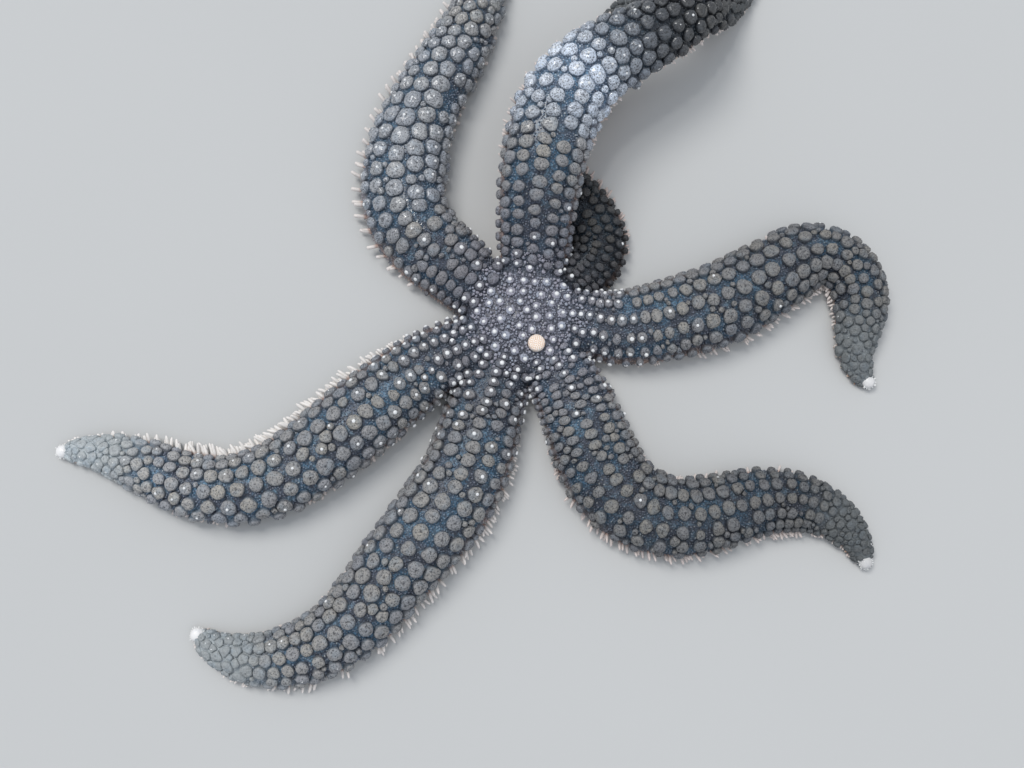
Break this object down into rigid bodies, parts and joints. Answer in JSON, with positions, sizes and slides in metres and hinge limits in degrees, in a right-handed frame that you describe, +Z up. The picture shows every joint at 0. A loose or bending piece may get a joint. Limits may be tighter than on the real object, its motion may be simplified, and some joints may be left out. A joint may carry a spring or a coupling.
{
  "type": "sea star",
  "caption": "Life-size still model of a many-armed sea star standing with its arms spread and curled, its back studded with round spine cushions",
  "frame": {"origin": "the middle of the mouth, on the ground that the animal stands on", "axes": "+Z up through the disc, +X to the right and +Y away from someone who looks at the two long arms on the near left"},
  "size_m": [0.375, 0.3595, 0.0513],
  "materials": {
    "skin": "moist blue-grey skin with grey-tan granular cushions round every spine",
    "tip_plate": "bare chalky white plate that ends each arm",
    "sieve_plate": "cream, finely grooved sieve plate on the back of the disc",
    "mouth": "soft orange skin with pale oral spines"
  },
  "bodies": {
    "root": {"disc": "skin", "mouth": "mouth", "madreporite": "sieve_plate", "arm_1_base": "skin", "arm_1_middle": "skin", "arm_1_tip": "skin", "arm_1_tip_plate": "tip_plate", "arm_2_base": "skin", "arm_2_middle": "skin", "arm_2_tip": "skin", "arm_2_tip_plate": "tip_plate", "arm_3_base": "skin", "arm_3_middle": "skin", "arm_3_tip": "skin", "arm_3_tip_plate": "tip_plate", "arm_4_base": "skin", "arm_4_middle": "skin", "arm_4_tip": "skin", "arm_4_tip_plate": "tip_plate", "arm_5_base": "skin", "arm_5_middle": "skin", "arm_5_tip": "skin", "arm_5_tip_plate": "tip_plate", "arm_6_base": "skin", "arm_6_middle": "skin", "arm_6_tip": "skin", "arm_6_tip_plate": "tip_plate", "arm_7_base": "skin", "arm_7_middle": "skin", "arm_7_tip": "skin", "arm_7_tip_plate": "tip_plate"}
  },
  "joints": []
}
